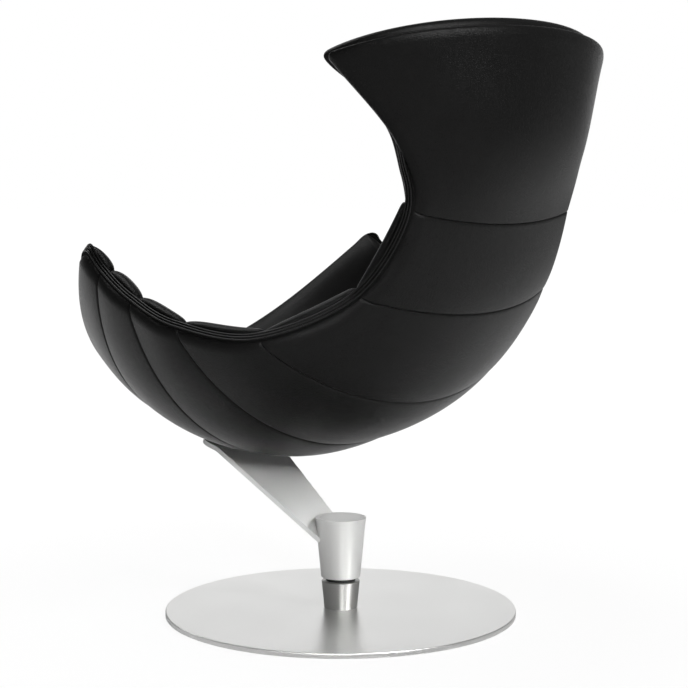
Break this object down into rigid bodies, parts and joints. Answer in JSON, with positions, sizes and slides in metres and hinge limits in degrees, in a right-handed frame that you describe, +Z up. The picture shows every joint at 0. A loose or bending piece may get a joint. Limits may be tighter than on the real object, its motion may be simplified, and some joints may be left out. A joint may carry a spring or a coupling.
{
  "type": "upholstered swivel lounge chair",
  "caption": "Bucket lounge chair of stuffed leather rolls in a panelled shell with a winged head rest, on a slanted flat steel arm, a tapered swivel column and a round steel plate",
  "frame": {"origin": "centre of the base plate's underside pad, on the floor", "axes": "+Z up along the swivel axis, the sitter faces -Y, X across the chair"},
  "size_m": [0.7966, 0.8437, 0.974],
  "materials": {
    "felt": "dense dark felt",
    "steel": "satin steel",
    "fastener": "plain zinc grey",
    "plastic": "black bearing plastic",
    "rubber": "black rubber",
    "moulding": "black moulded fibre",
    "leather": "black leather, fine grain, satin"
  },
  "bodies": {
    "base": {"floor_pad": "felt", "base_plate": "steel", "base_screws": "fastener", "lower_column": "steel", "spindle": "fastener", "thrust_washer_lower": "fastener", "thrust_ring": "plastic", "retaining_washer": "fastener", "retaining_ring": "fastener"},
    "seat": {"thrust_washer_upper": "fastener", "lower_bush": "plastic", "upper_bush": "plastic", "upper_column": "steel", "column_cap": "steel", "support_arm": "steel", "saddle_pad": "rubber", "seat_bolts": "fastener", "seat_bolt_washers": "fastener", "shell_inserts": "fastener", "seat_shell": "moulding", "cover_front": "leather", "cover_thigh": "leather", "cover_seat": "leather", "cover_hip": "leather", "cover_lumbar": "leather", "cover_waist": "leather", "cover_head": "leather", "roll_front": "leather", "roll_thigh": "leather", "roll_seat": "leather", "roll_hip": "leather", "roll_lumbar": "leather", "roll_waist": "leather", "pad_head": "leather"}
  },
  "joints": [
    {"name": "swivel", "type": "hinge", "parent": "base", "child": "seat", "pos_m": [0, 0, 0.06], "axis": [0, 0, 1], "continuous": true}
  ]
}
